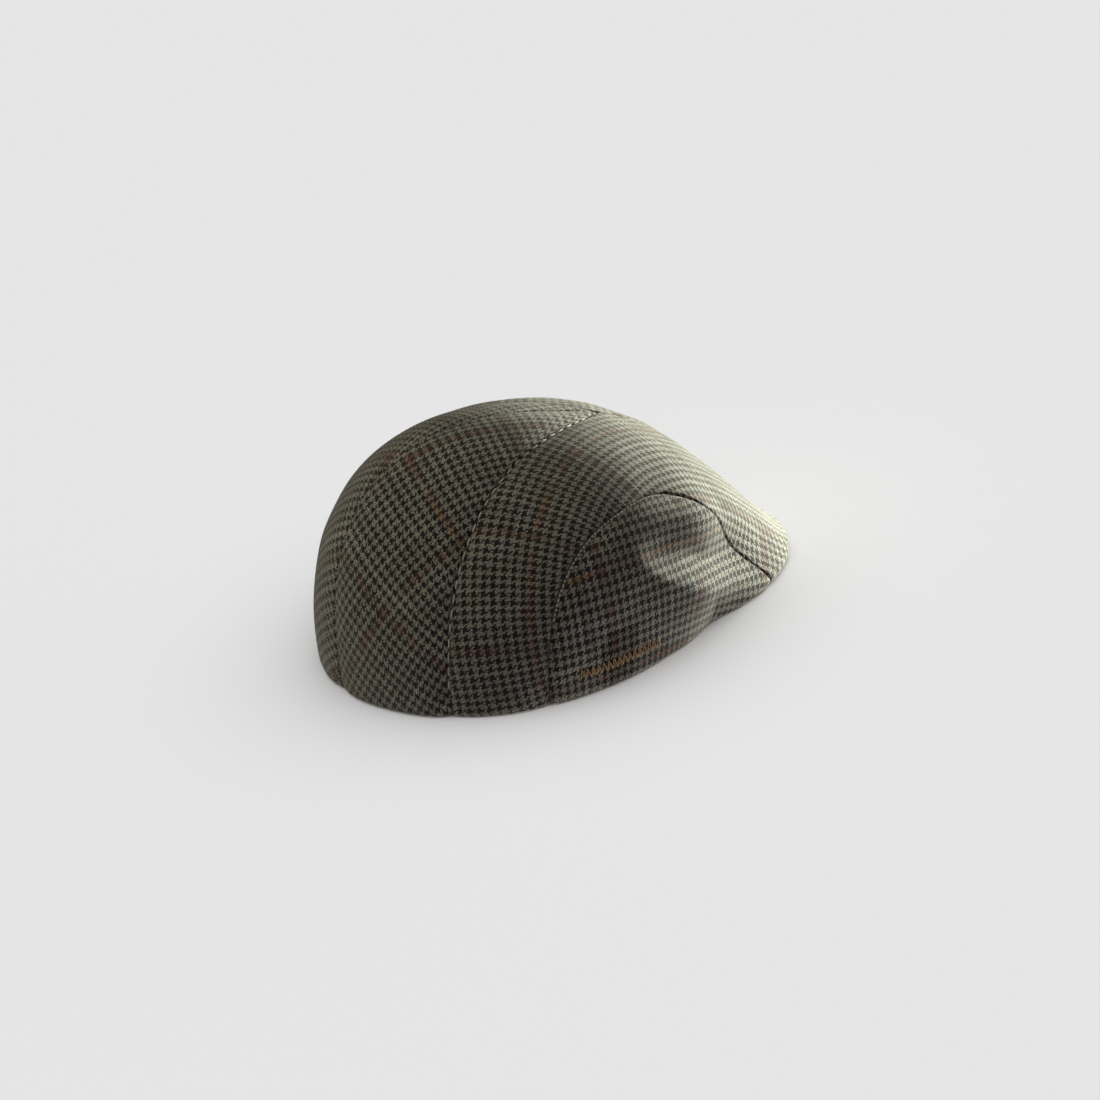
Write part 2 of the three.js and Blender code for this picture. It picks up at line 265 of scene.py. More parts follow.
# Floor, surround and lights, in metres
FLOOR_HALF = 6.0
SUN_SPREAD = 2.0  # angle of the light on the floor, in radians
SURROUND_TINT = (1.0, 0.93, 0.97)
WHITE = (1.0, 1.0, 1.0)
BRIGHT_SIDE = (0.0, -0.5, -0.87)  # direction of the brightest part of the surround, low in front of the cap
LIGHT_AIM = (0.0, 0.0, 0.04)
KEY_LIGHT = {
    "direction": (0.1, -0.99, -0.03),
    "distance": 0.4,
    "size": 0.1,
    "colour": (0.97, 1.0, 0.94),
}
TOP_LIGHT = {
    "direction": (0.34, 0.5, 0.8),
    "distance": 1.6,
    "size": 0.9,
    "colour": (1.0, 0.94, 0.84),
}


class CapClothSettings(bpy.types.PropertyGroup):
    """Sizes of the cloth and its sewing."""

    thickness: bpy.props.FloatProperty(
        name="Thickness", description="Thickness of the tweed", default=0.001, unit="LENGTH"
    )
    seam_depth: bpy.props.FloatProperty(
        name="Seam depth", description="Depth of the crease at a seam", default=0.0008, unit="LENGTH"
    )
    seam_width: bpy.props.FloatProperty(
        name="Seam width", description="Half width of the crease at a seam", default=0.0007, unit="LENGTH"
    )
    pull_depth: bpy.props.FloatProperty(
        name="Pull depth",
        description="How far a seam pulls in the cloth beside it",
        default=0.0012,
        unit="LENGTH",
    )
    pull_width: bpy.props.FloatProperty(
        name="Pull width",
        description="Half width of the cloth that a seam pulls in",
        default=0.0065,
        unit="LENGTH",
    )
    hem_roll: bpy.props.FloatProperty(
        name="Hem roll", description="Radius of the folded hem", default=0.0025, unit="LENGTH"
    )
    rim_roll: bpy.props.FloatProperty(
        name="Rim roll",
        description="Radius of the cloth round the rim of the peak",
        default=0.003,
        unit="LENGTH",
    )
    hem_tuck: bpy.props.FloatProperty(
        name="Hem tuck", description="How far the hem is turned up inside", default=0.009, unit="LENGTH"
    )
    wave_depth: bpy.props.FloatProperty(
        name="Wave depth", description="Depth of the soft waves in the cloth", default=0.0006, unit="LENGTH"
    )
    wave_size: bpy.props.FloatProperty(
        name="Wave size", description="Size of the soft waves in the cloth", default=0.026, unit="LENGTH"
    )
    pucker_depth: bpy.props.FloatProperty(
        name="Pucker depth", description="Depth of the puckers along a seam", default=0.0003, unit="LENGTH"
    )
    pucker_size: bpy.props.FloatProperty(
        name="Pucker size", description="Length of a pucker along a seam", default=0.008, unit="LENGTH"
    )


class CapWeaveSettings(bpy.types.PropertyGroup):
    """Yarns and colours of the tweed."""

    yarn_across: bpy.props.FloatProperty(
        name="Yarn pitch across", description="Distance between warp yarns", default=0.00057, unit="LENGTH"
    )
    yarn_along: bpy.props.FloatProperty(
        name="Yarn pitch along", description="Distance between weft yarns", default=0.00047, unit="LENGTH"
    )
    checks_across: bpy.props.IntProperty(
        name="Checks across", description="Houndstooth repeats from one warp line to the next", default=11
    )
    checks_along: bpy.props.IntProperty(
        name="Checks along", description="Houndstooth repeats from one weft line to the next", default=14
    )
    pale_wool: bpy.props.FloatVectorProperty(
        name="Pale wool", description="Pale yarn", default=(0.315, 0.308, 0.248), subtype="COLOR", size=3
    )
    dark_wool: bpy.props.FloatVectorProperty(
        name="Dark wool", description="Dark yarn", default=(0.021, 0.018, 0.013), subtype="COLOR", size=3
    )
    # Pale colour of loose fibres that the weave is painted towards where it is seen edge on: a painted sheen
    fuzz_and_sheen: bpy.props.FloatVectorProperty(
        name="Fuzz_and_sheen",
        description="Loose fibres seen edge on",
        default=(0.17, 0.168, 0.135),
        subtype="COLOR",
        size=3,
    )
    # Share of the weave that this painted sheen hides edge on
    fuzz_and_sheen_cover: bpy.props.FloatProperty(
        name="Fuzz cover", description="How much of the weave the fibres hide edge on", default=0.5
    )
    rust_wool: bpy.props.FloatVectorProperty(
        name="Rust wool",
        description="Rust yarn of the lines",
        default=(0.16, 0.045, 0.025),
        subtype="COLOR",
        size=3,
    )
    ochre_wool: bpy.props.FloatVectorProperty(
        name="Ochre wool",
        description="Ochre yarn of the lines",
        default=(0.24, 0.11, 0.04),
        subtype="COLOR",
        size=3,
    )
    navy_wool: bpy.props.FloatVectorProperty(
        name="Navy wool",
        description="Dark yarn beside the lines",
        default=(0.02, 0.017, 0.022),
        subtype="COLOR",
        size=3,
    )


class CapThreadSettings(bpy.types.PropertyGroup):
    """Sewing thread."""

    stitch_length: bpy.props.FloatProperty(
        name="Stitch length", description="Length of a back seam stitch", default=0.0044, unit="LENGTH"
    )
    stitch_pitch: bpy.props.FloatProperty(
        name="Stitch pitch",
        description="Distance between back seam stitches",
        default=0.0068,
        unit="LENGTH",
    )
    edge_length: bpy.props.FloatProperty(
        name="Edge stitch length", description="Length of a side seam stitch", default=0.0015, unit="LENGTH"
    )
    edge_pitch: bpy.props.FloatProperty(
        name="Edge stitch pitch",
        description="Distance between side seam stitches",
        default=0.0023,
        unit="LENGTH",
    )
    stitch_width: bpy.props.FloatProperty(
        name="Stitch width", description="Width of the thread", default=0.0007, unit="LENGTH"
    )
    # Pale seam thread, made paler still as a painted highlight of the raised seam edge
    seam_thread_and_highlight: bpy.props.FloatVectorProperty(
        name="Seam thread",
        description="Colour of the seam thread",
        default=(0.7, 0.69, 0.58),
        subtype="COLOR",
        size=3,
    )
    row_thread: bpy.props.FloatVectorProperty(
        name="Row thread",
        description="Colour of the zigzag row",
        default=(0.5, 0.28, 0.1),
        subtype="COLOR",
        size=3,
    )


class CapStageSettings(bpy.types.PropertyGroup):
    """Camera, floor and lights."""

    azimuth: bpy.props.FloatProperty(
        name="Azimuth", description="Direction of the camera", default=np.radians(244.6), subtype="ANGLE"
    )
    elevation: bpy.props.FloatProperty(
        name="Elevation",
        description="Height angle of the camera",
        default=np.radians(26.5),
        subtype="ANGLE",
    )
    roll: bpy.props.FloatProperty(
        name="Roll", description="Turn of the picture", default=np.radians(9.5), subtype="ANGLE"
    )
    lens: bpy.props.FloatProperty(
        name="Lens", description="Focal length in millimetres", default=200.0, unit="CAMERA"
    )
    frame_width: bpy.props.FloatProperty(
        name="Frame width", description="Width of the picture at the cap", default=0.5164, unit="LENGTH"
    )
    aim_right: bpy.props.FloatProperty(
        name="Aim right",
        description="Middle of the picture, right of the hem's middle",
        default=0.0096,
        unit="LENGTH",
    )
    aim_up: bpy.props.FloatProperty(
        name="Aim up",
        description="Middle of the picture, above the hem's middle",
        default=0.031,
        unit="LENGTH",
    )
    floor_colour: bpy.props.FloatVectorProperty(
        name="Floor colour", description="Pale floor", default=(0.8, 0.8, 0.8), subtype="COLOR", size=3
    )
    surround: bpy.props.FloatProperty(
        name="Surround", description="Light on the cap from all round", default=0.075
    )
    surround_fall: bpy.props.FloatProperty(
        name="Surround fall",
        description="Extra light from low in front, taken from high behind",
        default=1.5,
    )
    backdrop: bpy.props.FloatProperty(
        name="Backdrop", description="Brightness of the surround behind the floor", default=0.79
    )
    floor_sun: bpy.props.FloatProperty(
        name="Floor light", description="Strength of the light from above on the floor", default=3.03
    )
    key_power: bpy.props.FloatProperty(
        name="Key light", description="Power of the light at the front", default=7.2, unit="POWER"
    )
    top_power: bpy.props.FloatProperty(
        name="Top light", description="Power of the light above the far side", default=13.0, unit="POWER"
    )


# Crown surface


def stacked(*parts):
    return np.stack(np.broadcast_arrays(*parts), axis=-1)


def unit(vectors):
    length = np.linalg.norm(vectors, axis=-1, keepdims=True)
    return vectors / np.maximum(length, TINY)


def smooth_ramp(value, start, end):
    share = np.clip((value - start) / (end - start), 0, 1)
    return share * share * (3 - 2 * share)


def along_sections(angle, values):
    """Smooth curve through a column of the crown sections."""
    knots = np.array(SECTION_ANGLE, float)
    values = np.array(values, float)
    slopes = np.zeros(len(knots))
    slopes[1:-1] = (values[2:] - values[:-2]) / (knots[2:] - knots[:-2])
    slopes[-1] = (values[-1] - values[-2]) / (knots[-1] - knots[-2])
    row = np.clip(np.searchsorted(knots, angle, side="right") - 1, 0, len(knots) - 2)
    step = knots[row + 1] - knots[row]
    share = (angle - knots[row]) / step
    rise = share * share * (3 - 2 * share)
    bend = share * (1 - share) * ((1 - share) * slopes[row] - share * slopes[row + 1])
    return values[row] * (1 - rise) + values[row + 1] * rise + bend * step


def edge_point(angle):
    """Bottom edge of the cloth: the hem behind the temples, the rim of the peak ahead of them."""
    size = np.abs(angle)
    turn = np.radians(angle)
    hem_out = HALF_WIDTH * np.sin(turn) * (1 - HEM_EGG * np.cos(turn))
    hem = stacked(hem_out, -HALF_LENGTH * np.cos(turn), 0.0)
    sweep = np.radians(90 * angle / TEMPLE_ANGLE)
    drop = WALL * np.maximum(0, -np.sin(np.radians(along_sections(np.minimum(size, 180), WALL_LEAN))))
    arch = PEAK_ARCH * np.cos(sweep) ** 2
    height = (RIM_LIFT + drop + arch) * (1 - smooth_ramp(size, PEAK_END_ANGLE, TEMPLE_ANGLE))
    rim = stacked(TEMPLE_X * np.sin(sweep), -TEMPLE_AHEAD - PEAK_REACH * np.cos(sweep), height)
    return np.where((size >= TEMPLE_ANGLE)[..., None], hem, rim)


def soft_edge(angle):
    """Edge with the corners at the temples rounded off, which steers the crown above it."""
    steps = np.arange(-TEMPLE_STEPS, TEMPLE_STEPS + 1)
    weights = TEMPLE_STEPS + 1 - np.abs(steps)
    turns = TEMPLE_SOFTNESS * steps / (TEMPLE_STEPS + 1)
    return sum(edge_point(angle + turn) * weight for turn, weight in zip(turns, weights)) / weights.sum()


def crown_point(angle, share):
    """Points of the smooth crown: angle from the front, share of the way from the apex to the edge."""
    size = np.abs((angle + 180) % 360 - 180)
    top_reach = along_sections(size, TOP_REACH)[..., None]
    wall_reach = along_sections(size, WALL_REACH)[..., None]
    lean = np.radians(along_sections(size, WALL_LEAN))[..., None]
    edge = soft_edge(angle)
    corner = edge_point(angle) - edge
    outward = unit((edge - APEX) * (1, 1, 0))
    up = np.array([0.0, 0.0, 1.0])
    top = APEX + outward * top_reach + up * APEX_SLOPE * outward[..., 1:2] * top_reach
    wall = edge + wall_reach * (outward * np.sin(lean) + up * np.cos(lean))
    s = share[..., None]
    curve = (1 - s) ** 3 * APEX + 3 * (1 - s) ** 2 * s * top + 3 * (1 - s) * s**2 * wall + s**3 * edge
    return curve + corner * s**TEMPLE_FADE_POWER


def crown_directions(angle, share):
    """Outward normal and downward direction of the smooth crown."""
    along = crown_point(angle + ANGLE_STEP, share) - crown_point(angle - ANGLE_STEP, share)
    lower = np.minimum(1, share + SHARE_STEP)
    down = crown_point(angle, lower) - crown_point(angle, lower - 2 * SHARE_STEP)
    return unit(np.cross(down, along)), unit(down)


def crown_normal(angle, share):
    return crown_directions(angle, share)[0]


def side_rise(points):
    """How far the side stands out above the temple, less the dent pressed into it."""
    ahead = -points[..., 1]
    height = points[..., 2]
    full_along = (ahead - FULL_AHEAD) / FULL_HALF_LENGTH
    full_up = (height - FULL_HEIGHT) / FULL_HALF_HEIGHT
    full = FULL_RISE * np.exp(-full_along * full_along - full_up * full_up)
    x = ahead - DENT_AHEAD
    z = height - DENT_HEIGHT
    tilt = np.radians(DENT_TILT)
    along = x * np.cos(tilt) + z * np.sin(tilt)
    along = along / np.where(along > 0, DENT_FRONT_LENGTH, DENT_BACK_LENGTH)
    across = (z * np.cos(tilt) - x * np.sin(tilt)) / DENT_HALF_WIDTH
    bank = 1 - np.sqrt(along * along + across * across + DENT_VALLEY * DENT_VALLEY)
    return full - DENT_DEPTH * (bank + np.hypot(bank, DENT_LIP)) / 2


def cloth_point(angle, reach):
    """Outer face of the cloth: reach runs to 1 down the crown, to 2 round the fold and to 3 up the tuck."""
    cloth = bpy.context.scene.cap_cloth
    front = 1 - smooth_ramp(np.abs(angle), RIM_END_ANGLE, TEMPLE_ANGLE)
    roll = (cloth.hem_roll + (cloth.rim_roll - cloth.hem_roll) * front) / MM
    at_edge = np.ones_like(angle)
    edge = crown_point(angle, at_edge)
    normal, down = crown_directions(angle, at_edge)
    fall = np.linalg.norm(crown_point(angle, at_edge - EDGE_STEP) - edge, axis=-1) / EDGE_STEP
    lift = np.maximum(0, roll * (1 + normal[..., 2]) + FOLD_GAP - edge[..., 2])
    cut = lift / (fall * np.maximum(-down[..., 2], LEAST_FALL))
    tuck = (cloth.hem_tuck / MM * (1 - front) + RIM_TUCK) * np.clip(reach - 2, 0, 1)
    share = np.minimum(reach, 1) - cut * smooth_ramp(reach, LIFT_START, 1.0) - tuck / fall
    points = crown_point(angle, share)
    outward, downward = crown_directions(angle, share)
    points = points + outward * (side_rise(points) * (1 - share**SIDE_FADE_POWER))[..., None]
    sweep = np.radians(HEM_TURN - (HEM_TURN - RIM_TURN) * front) * np.clip(reach - 1, 0, 1)
    turned = outward * (np.cos(sweep) - 1)[..., None] + downward * np.sin(sweep)[..., None]
    return points + turned * roll[..., None]


# Flat map of the crown: the apex in the middle, the bottom edge on a circle of radius 1


def map_point(angle, share):
    turn = np.radians(angle)
    return stacked(share * np.sin(turn), -share * np.cos(turn))


def map_place(points):
    return np.degrees(np.arctan2(points[..., 0], -points[..., 1])), np.linalg.norm(points, axis=-1)


def gap_angle(angle, share):
    reach = np.linalg.norm((crown_point(angle, share) - APEX)[..., :2], axis=-1)
    return np.degrees(SEAM_TOUCH / reach)


def back_seam_angle(share):
    hook = BACK_SEAM_HOOK * (1 - share) ** BACK_SEAM_HOOK_POWER
    return BACK_SEAM_ANGLE - BACK_SEAM_LEAN * (1 - share) - hook


def inside_arch(angle, share, grow):
    point = crown_point(angle, share)
    ahead = -point[..., 1]
    height = ARCH_HEIGHT + grow
    behind = np.clip((ARCH_TOP - ahead) / (ARCH_TOP - ARCH_BACK + grow), 0, 1)
    before = np.clip((ahead - ARCH_TOP) / (ARCH_FRONT - ARCH_TOP + grow), 0, 1)
    back_height = height * (1 - behind**ARCH_BACK_POWER) ** (1 / ARCH_BACK_POWER)
    front_height = height * (1 - before**ARCH_FRONT_POWER) ** ARCH_FRONT_FALL
    below = point[..., 2] < np.where(ahead < ARCH_TOP, back_height, front_height)
    return below & (behind < 1) & (before < 1)


def find_change(start, end, test):
    """Halves each range until it closes on the value where the test changes."""
    low = np.array(start, float)
    high = np.array(end, float)
    first = test(low)
    for _ in range(HALVINGS):
        middle = (low + high) / 2
        same = test(middle) == first
        low = np.where(same, middle, low)
        high = np.where(same, high, middle)
    return (low + high) / 2


def side_seam(part, grow):
    """Places of the side seam, angle and share, at parts 0 to 1 of the way from the rim to the hem."""

    def on_edge(angle):
        return inside_arch(angle, np.full_like(angle, NEAR_EDGE), grow)

    ends = find_change([0.0, BACK_SEAM_ANGLE], [ARCH_MIDDLE_ANGLE, ARCH_MIDDLE_ANGLE], on_edge)
    middle = map_point(np.array(ARCH_MIDDLE_ANGLE), np.array(1.0))
    lines = map_point(ends, np.ones(2)) - middle
    headings = np.arctan2(lines[:, 1], lines[:, 0]) % (2 * np.pi)
    heading = headings[0] + (headings[1] - headings[0]) * part
    line = stacked(np.cos(heading), np.sin(heading))

    def within(length):
        return inside_arch(*map_place(middle + line * length[..., None]), grow)

    length = find_change(np.zeros_like(part), np.full_like(part, ARCH_LONGEST_LINE), within)
    angle, share = map_place(middle + line * length[..., None])
    angle = np.where(part <= 0, ends[0], np.where(part >= 1, ends[1], angle))
    return angle, np.where((part <= 0) | (part >= 1), 1.0, np.minimum(share, 1.0))


# Panels: each gives the angle and reach of a grid of places, columns first


def fine_ends(count):
    """Parts 0 to 1 with short steps at both ends, where the seams are."""
    part = np.linspace(0, 1, count + 1)
    return part - FINE_ENDS * np.sin(2 * np.pi * part) / (2 * np.pi)


def fold_reach():
    fold = 1 + np.arange(1, FOLD_STEPS + 1) / FOLD_STEPS
    tuck = 2 + np.arange(1, TUCK_STEPS + 1) / TUCK_STEPS
    return np.concatenate([fold, tuck])


def back_places():
    share = APEX_START + (1 - APEX_START) * np.linspace(0, 1, BACK_ROWS + 1)
    seam = back_seam_angle(share)
    first = seam + gap_angle(seam, share)
    last = 180 - gap_angle(np.full_like(share, 180.0), share)
    across = fine_ends(BACK_COLUMNS)[:, None]
    angle = first * (1 - across) + last * across
    reach = np.broadcast_to(share, angle.shape)
    fold = fold_reach()
    angle = np.concatenate([angle, np.repeat(angle[:, -1:], len(fold), axis=1)], axis=1)
    reach = np.concatenate([reach, np.broadcast_to(fold, (len(across), len(fold)))], axis=1)
    return angle, reach


def top_places():
    front_count = round(TOP_COLUMNS * FRONT_SEAM_PART)
    part = np.linspace(0, 1, TOP_COLUMNS + 1)
    climb = np.clip(part / FRONT_SEAM_PART, 0, 1)
    descent = np.clip((part - FRONT_SEAM_PART) / (1 - FRONT_SEAM_PART), 0, 1)
    share = np.where(part < FRONT_SEAM_PART, 1 - climb, descent)
    share = APEX_START + (1 - APEX_START) * share
    seam = back_seam_angle(share)
    front = gap_angle(np.zeros_like(share), share)
    inner = np.where(part < FRONT_SEAM_PART, front, seam - gap_angle(seam, share))
    inner[front_count] = seam[front_count] / 2
    outer, outer_share = side_seam(part, SEAM_TOUCH)
    across = fine_ends(TOP_ROWS)[None, :, None]
    start = map_point(inner, share)[:, None]
    end = map_point(outer, outer_share)[:, None]
    straight = start * (1 - across) + end * across
    end_angles = inner[[0, -1], None] * (1 - across[..., 0]) + outer[[0, -1], None] * across[..., 0]
    bulge = map_point(end_angles, np.ones_like(end_angles)) - straight[[0, -1]]
    along = part[:, None, None]
    angle, reach = map_place(straight + bulge[0] * (1 - along) + bulge[1] * along)
    angle[[0, -1]] = end_angles
    reach[[0, -1]] = 1
    fold = np.repeat(fold_reach()[:, None], TOP_ROWS + 1, axis=1)
    angle = np.concatenate([np.repeat(angle[:1], len(fold), 0), angle, np.repeat(angle[-1:], len(fold), 0)])
    reach = np.concatenate([fold[::-1], reach, fold])
    return angle, reach


def side_places():
    part = np.linspace(SIDE_END_PART, 1 - SIDE_END_PART, SIDE_COLUMNS + 1)
    seam, seam_share = side_seam(part, -SEAM_TOUCH)
    ends = side_seam(np.array([0.0, 1.0]), -SEAM_TOUCH)[0]
    foot = ends[0] + (ends[1] - ends[0]) * np.linspace(0, 1, SIDE_COLUMNS + 1)
    down = (np.linspace(0, 1, SIDE_ROWS + 1) ** SIDE_ROW_POWER)[None, :, None]
    top = map_point(seam, seam_share)[:, None]
    bottom = map_point(foot, np.ones_like(foot))[:, None]
    angle, reach = map_place(top * (1 - down) + bottom * down)
    angle[:, -1] = foot
    reach[:, -1] = 1
    fold = np.broadcast_to(fold_reach(), (SIDE_COLUMNS + 1, FOLD_STEPS + TUCK_STEPS))
    angle = np.concatenate([angle, np.repeat(angle[:, -1:], fold.shape[1], axis=1)], axis=1)
    return angle, np.concatenate([reach, fold], axis=1)


# Each panel: how its places are made, which of its edges are seams, whether its hem ends the rows or the
# columns, and three points of its grain, two on a warp line and one on a weft line, in millimetres ahead
# of the hem's middle, out to the side and up. A turned panel has its warp and weft changed over.
PANELS = {
    "back_panel": {
        "places": back_places,
        "seams": ("first column", "last column"),
        "fold": "rows",
        "warp_line": ((-52.1, 5.4, 103.9), (-53.6, 52.0, 74.9)),
        "weft_point": (-72.5, 42.5, 66.9),
        "turned": False,
        "slot": "back_tweed",
    },
    "top_panel": {
        "places": top_places,
        "seams": ("first row", "last row"),
        "fold": "columns",
        "warp_line": ((5.5, 46.3, 91.6), (-40.3, 81.6, 44.0)),
        "weft_point": (-30.1, 59.8, 78.9),
        "turned": False,
        "slot": "top_tweed",
    },
    "side_panel": {
        "places": side_places,
        "seams": ("first row",),
        "fold": "rows",
        "warp_line": ((-6.0, 90.2, 1.7), (-4.1, 92.5, 36.4)),
        "weft_point": (27.0, 82.5, 54.2),
        "turned": True,
        "slot": "side_tweed",
    },
}


def grid_normals(points, angle, reach):
    """Outward normals of a grid of points, taken from the crown where the grid closes to a tip."""
    across = np.gradient(points, axis=0)
    down = np.gradient(points, axis=1)
    normal = np.cross(down, across)
    size = np.linalg.norm(normal, axis=-1, keepdims=True)
    return np.where(size > TIP_SIZE, unit(normal), crown_normal(angle, np.minimum(reach, 1)))


def seam_distance(points, seams):
    """Distance of each point from the panel's nearest seam, along the grid."""
    nearest = np.full(points.shape[:2], np.inf)
    for seam in seams:
        axis = 0 if "column" in seam else 1
        steps = np.linalg.norm(np.diff(points, axis=axis), axis=-1)
        if "last" in seam:
            steps = np.flip(steps, axis)
        length = np.cumsum(steps, axis=axis)
        zero = np.zeros_like(np.take(length, [0], axis=axis))
        length = np.concatenate([zero, length], axis=axis)
        if "last" in seam:
            length = np.flip(length, axis)
        nearest = np.minimum(nearest, length)
    return nearest


def soft_noise(points, size, seed):
    offset = Vector([seed * part for part in NOISE_SHIFT])
    flat = points.reshape(-1, 3) / size
    values = [noise.noise(Vector(point) + offset) for point in flat]
    return np.array(values).reshape(points.shape[:-1])


def grid_quads(index):
    """Corners of the quads of a grid, from the numbers of its points."""
    return stacked(index[:-1, :-1], index[:-1, 1:], index[1:, 1:], index[1:, :-1]).reshape(-1, 4)


def flatten_grid(points):
    """Places of the grid's points on the flat cloth: a sheet of them unwrapped and scaled to its own area."""
    columns, rows = points.shape[:2]
    sheet = bpy.data.meshes.new("flat_pattern")
    corners = grid_quads(np.arange(columns * rows).reshape(columns, rows))
    sheet.from_pydata(points.reshape(-1, 3).tolist(), [], corners.tolist())
    sheet.uv_layers.new(name="flat")
    pattern = bpy.data.objects.new("flat_pattern", sheet)
    bpy.context.scene.collection.objects.link(pattern)
    for other in bpy.context.selected_objects:
        other.select_set(False)
    bpy.context.view_layer.objects.active = pattern
    pattern.select_set(True)
    bpy.ops.object.mode_set(mode="EDIT")
    bpy.ops.mesh.select_all(action="SELECT")
    bpy.ops.uv.unwrap(method="MINIMUM_STRETCH", margin=0.0, correct_aspect=False)
    bpy.ops.object.mode_set(mode="OBJECT")
    loops = np.zeros(len(sheet.loops), np.int32)
    sheet.loops.foreach_get("vertex_index", loops)
    found = np.zeros(len(sheet.loops) * 2, np.float32)
    sheet.uv_layers["flat"].data.foreach_get("uv", found)
    flat = np.zeros((columns * rows, 2))
    flat[loops] = found.reshape(-1, 2)
    bpy.data.objects.remove(pattern)
    bpy.data.meshes.remove(sheet)
    flat = flat.reshape(columns, rows, 2)
    return flat * np.sqrt(grid_area(points) / abs(grid_area(flat)))


def grid_area(points):
    """Area of a grid of quads; signed where the points are flat."""
    first = points[1:, 1:] - points[:-1, :-1]
    second = points[:-1, 1:] - points[1:, :-1]
    if points.shape[-1] == 2:
        return np.sum(first[..., 0] * second[..., 1] - first[..., 1] * second[..., 0]) / 2
    return np.sum(np.linalg.norm(np.cross(first, second), axis=-1)) / 2


def grain_places(points, flat, warp_line, weft_point):
    """Flat cloth turned so that a warp line passes through two points, and a weft line through a third."""
    if grid_area(flat) < 0:
        flat = flat * (-1, 1)

    def place_of(ahead, out, up):
        gap = np.linalg.norm(points - (out, -ahead, up), axis=-1)
        return flat[np.unravel_index(np.argmin(gap), gap.shape)]

    start = place_of(*warp_line[0])
    end = place_of(*warp_line[1])
    along = unit(end - start)
    across = np.array([along[1], -along[0]])
    centre = start + along * np.dot(place_of(*weft_point) - start, along)
    return stacked((flat - centre) @ across, (flat - centre) @ along)


def placed_mesh(name, points, faces, places):
    """Smooth mesh from points in millimetres, with each point's place for the weave or the twist."""
    mesh = bpy.data.meshes.new(name)
    mesh.from_pydata((points * MM).tolist(), [], faces)
    spot = mesh.attributes.new(CLOTH_PLACE, "FLOAT_VECTOR", "POINT")
    spot.data.foreach_set("vector", (places * MM).astype(np.float32).ravel())
    mesh.shade_smooth()
    return mesh


def closed_cloth(name, outer, inner, places, mirrored):
    """Mesh of a sheet with an outer and an inner face, with each point's place on the flat cloth."""
    columns, rows = outer.shape[:2]
    count = columns * rows
    index = np.arange(count).reshape(columns, rows)
    face = grid_quads(index)
    ring = np.concatenate([index[0, :-1], index[:-1, -1], index[-1, :0:-1], index[:0:-1, 0]])
    after = np.roll(ring, -1)
    wall = stacked(after, ring, ring + count, after + count)
    faces = np.concatenate([face, face[:, ::-1] + count, wall])
    points = np.concatenate([outer.reshape(-1, 3), inner.reshape(-1, 3)]) + HEM_MIDDLE
    flat = np.concatenate([places.reshape(-1, 2)] * 2)
    if mirrored:
        points = points * (-1, 1, 1)
        flat = flat * (-1, 1)
        faces = faces[:, ::-1]
    return placed_mesh(name, points, faces.tolist(), np.pad(flat, ((0, 0), (0, 1))))


def add_piece(name, mesh, material, slot, *nodes):
    """Links a piece to the scene, on the cap's one body, in place of the nodes it stands for."""
    piece = bpy.data.objects.new(name, mesh)
    bpy.context.scene.collection.objects.link(piece)
    mesh.materials.append(material)
    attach(piece, "root")
    if nodes:
        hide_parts(*nodes)
    return piece


# Materials


def computed(tree, operation, first, second=0.0, third=0.0):
    node = tree.nodes.new("ShaderNodeMath")
    node.operation = operation
    for socket, value in zip(node.inputs, (first, second, third)):
        if isinstance(value, bpy.types.NodeSocket):
            tree.links.new(value, socket)
        else:
            socket.default_value = value
    return node.outputs[0]


def held(tree, value, low):
    """Value kept between a low limit and 1."""
    return computed(tree, "MINIMUM", computed(tree, "MAXIMUM", value, low), 1.0)


def mixed(tree, factor, first, second):
    """Colour between two colours."""
    node = tree.nodes.new("ShaderNodeMix")
    node.data_type = "RGBA"
    for name, value in (("Factor_Float", factor), ("A_Color", first), ("B_Color", second)):
        socket = next(found for found in node.inputs if found.identifier == name)
        if isinstance(value, bpy.types.NodeSocket):
            tree.links.new(value, socket)
        elif name == "Factor_Float":
            socket.default_value = value
        else:
            socket.default_value = (*value, 1.0)
    return next(found for found in node.outputs if found.identifier == "Result_Color")


def noise_value(tree, place, scale, detail):
    node = tree.nodes.new("ShaderNodeTexNoise")
    node.inputs["Scale"].default_value = scale
    node.inputs["Detail"].default_value = detail
    tree.links.new(place, node.inputs["Vector"])
    return node.outputs["Fac"]


def random_value(tree, number):
    """Value from 0 to 1 that is settled by a number alone."""
    node = tree.nodes.new("ShaderNodeTexWhiteNoise")
    node.noise_dimensions = "1D"
    tree.links.new(number, node.inputs["W"])
    return node.outputs["Value"]


def new_group(name, inputs, outputs):
    """Empty shader group with its sockets, and its input and output nodes."""
    tree = bpy.data.node_groups.new(name, "ShaderNodeTree")
    for socket, kind in inputs.items():
        tree.interface.new_socket(socket, in_out="INPUT", socket_type=f"NodeSocket{kind}")
    for socket, kind in outputs.items():
        tree.interface.new_socket(socket, in_out="OUTPUT", socket_type=f"NodeSocket{kind}")
    return tree, tree.nodes.new("NodeGroupInput"), tree.nodes.new("NodeGroupOutput")


